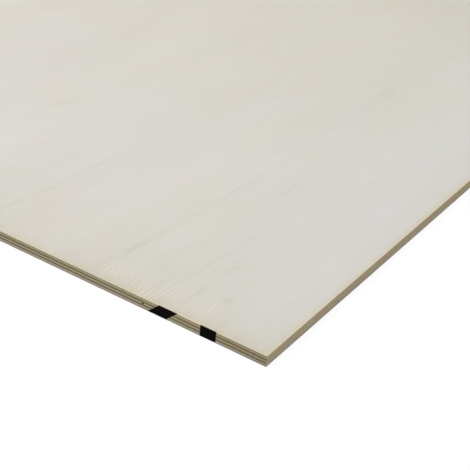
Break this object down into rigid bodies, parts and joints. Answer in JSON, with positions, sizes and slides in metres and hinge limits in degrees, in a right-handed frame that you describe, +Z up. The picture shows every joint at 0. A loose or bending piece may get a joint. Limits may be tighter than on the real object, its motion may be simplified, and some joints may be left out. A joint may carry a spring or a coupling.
{
  "type": "plywood sheet",
  "caption": "Flat rectangular plywood panel of thin veneers glued crosswise, with a pale sanded face and a layered sawn edge, for sheathing, shelving and joinery.",
  "frame": {"origin": "middle of the underside, on the surface that the panel lies on", "axes": "+X along the length and the face grain, +Y across the grain, +Z up, out of the show face"},
  "size_m": [1.22, 0.61, 0.009],
  "materials": {
    "outer_veneer_wood": "sanded, unfinished",
    "cross_ply_wood": "sawn edge, unfinished",
    "long_ply_wood": "sawn edge, unfinished"
  },
  "bodies": {
    "root": {"face_veneer": "outer_veneer_wood", "upper_cross_ply": "cross_ply_wood", "upper_long_ply": "long_ply_wood", "core_ply": "cross_ply_wood", "lower_long_ply": "long_ply_wood", "lower_cross_ply": "cross_ply_wood", "back_veneer": "outer_veneer_wood"}
  },
  "joints": []
}
